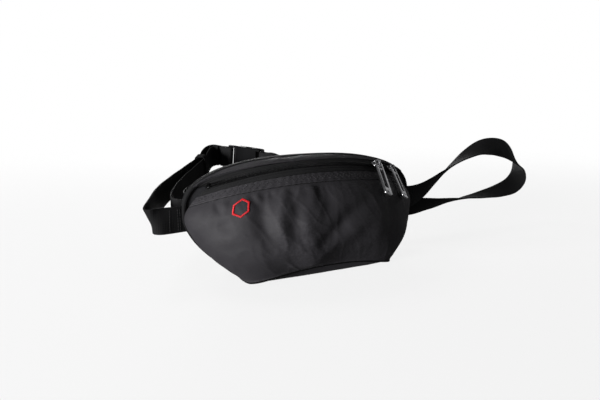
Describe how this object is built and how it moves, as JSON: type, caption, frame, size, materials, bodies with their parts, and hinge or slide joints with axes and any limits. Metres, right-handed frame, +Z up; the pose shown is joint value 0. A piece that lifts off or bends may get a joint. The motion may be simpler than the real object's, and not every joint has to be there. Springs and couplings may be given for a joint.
{
  "type": "waist pack",
  "caption": "Zipped waist pack with a rounded front, flat bottom gusset, padded mesh back, two zip sliders with ring pulls, and a webbing belt closed by a side-release buckle.",
  "frame": {"origin": "middle of the flat bottom face, where the pack stands", "axes": "+Z up, front faces -Y, the wearer's side faces +Y, width along X"},
  "size_m": [0.5015, 0.2494, 0.1153],
  "materials": {
    "face_fabric": "coated plain-weave polyester, soft sheen",
    "lining": "thin plain-weave lining",
    "foam": "closed-cell padding, hidden",
    "spacer_mesh": "open knitted spacer mesh",
    "zip_tape": "woven tape",
    "zip_coil": "moulded nylon coil",
    "zip_stop": "pressed metal",
    "zip_metal": "black-nickel plated, polished",
    "webbing": "ribbed polyester webbing",
    "elastic": "woven elastic",
    "buckle_plastic": "moulded acetal, fine texture",
    "embroidery": "satin-stitched thread"
  },
  "bodies": {
    "pack": {"back_lining": "lining", "back_foam": "foam", "back_mesh": "spacer_mesh", "front_panel": "face_fabric", "zip_facing": "face_fabric", "bottom_gusset": "face_fabric", "lining_pouch": "lining", "top_end_left": "face_fabric", "top_end_right": "face_fabric", "zip_tape_front": "zip_tape", "zip_tape_end_left": "zip_tape", "zip_tape_end_right": "zip_tape", "zip_coil_front": "zip_coil", "zip_coil_end_left": "zip_coil", "zip_coil_end_right": "zip_coil", "zip_stop_left": "zip_stop", "zip_stop_right": "zip_stop", "belt_left": "webbing", "belt_right": "webbing", "belt_tail": "webbing", "tail_keeper": "elastic", "buckle_socket": "buckle_plastic", "emblem": "embroidery"},
    "flap": {"top_flap": "face_fabric", "zip_tape_rear": "zip_tape", "zip_coil_rear": "zip_coil"},
    "slider_a_body": {"slider_a": "zip_metal"},
    "slider_b_body": {"slider_b": "zip_metal"},
    "pull_a_body": {"pull_a": "zip_metal"},
    "pull_b_body": {"pull_b": "zip_metal"},
    "tongue": {"buckle_tongue": "buckle_plastic"},
    "prong_upper_body": {"prong_upper": "buckle_plastic"},
    "prong_lower_body": {"prong_lower": "buckle_plastic"}
  },
  "joints": [
    {"name": "mouth_open", "type": "hinge", "parent": "pack", "child": "flap", "pos_m": [0, 0.0256, 0.112], "axis": [-1, 0, 0], "range_deg": [0, 35]},
    {"name": "slider_a_run", "type": "hinge", "parent": "pack", "child": "slider_a_body", "pos_m": [0, 0.13659, 0.01012], "axis": [0, -0.5592, -0.829], "range_deg": [0, 57]},
    {"name": "pull_a_swing", "type": "hinge", "parent": "slider_a_body", "child": "pull_a_body", "pos_m": [0.07026, 0.0031, 0.10256], "axis": [-0.9082, -0.1698, 0.3825], "range_deg": [0, 150]},
    {"name": "slider_b_run", "type": "hinge", "parent": "pack", "child": "slider_b_body", "pos_m": [0, 0.13659, 0.01012], "axis": [0, -0.5592, -0.829], "range_deg": [0, 5.5]},
    {"name": "pull_b_swing", "type": "hinge", "parent": "slider_b_body", "child": "pull_b_body", "pos_m": [0.09687, 0.01498, 0.09455], "axis": [-0.8346, -0.2937, 0.4661], "range_deg": [0, 150]},
    {"name": "buckle_release", "type": "slide", "parent": "pack", "child": "tongue", "axis": [-0.6709, 0.736, 0.0901], "range_m": [0, 0.028], "deforming": ["belt_left", "belt_tail"]},
    {"name": "prong_upper_flex", "type": "hinge", "parent": "tongue", "child": "prong_upper_body", "pos_m": [-0.02144, 0.1801, 0.10145], "axis": [0.74, 0.6723, 0.0181], "range_deg": [0, 5], "stiffness_Nm_per_rad": 0.5},
    {"name": "prong_lower_flex", "type": "hinge", "parent": "tongue", "child": "prong_lower_body", "pos_m": [-0.02243, 0.18175, 0.08053], "axis": [-0.74, -0.6723, -0.0181], "range_deg": [0, 5], "stiffness_Nm_per_rad": 0.5}
  ],
  "couplings": [
    {"joint": "prong_lower_flex", "follows": "prong_upper_flex", "ratio": 1}
  ]
}
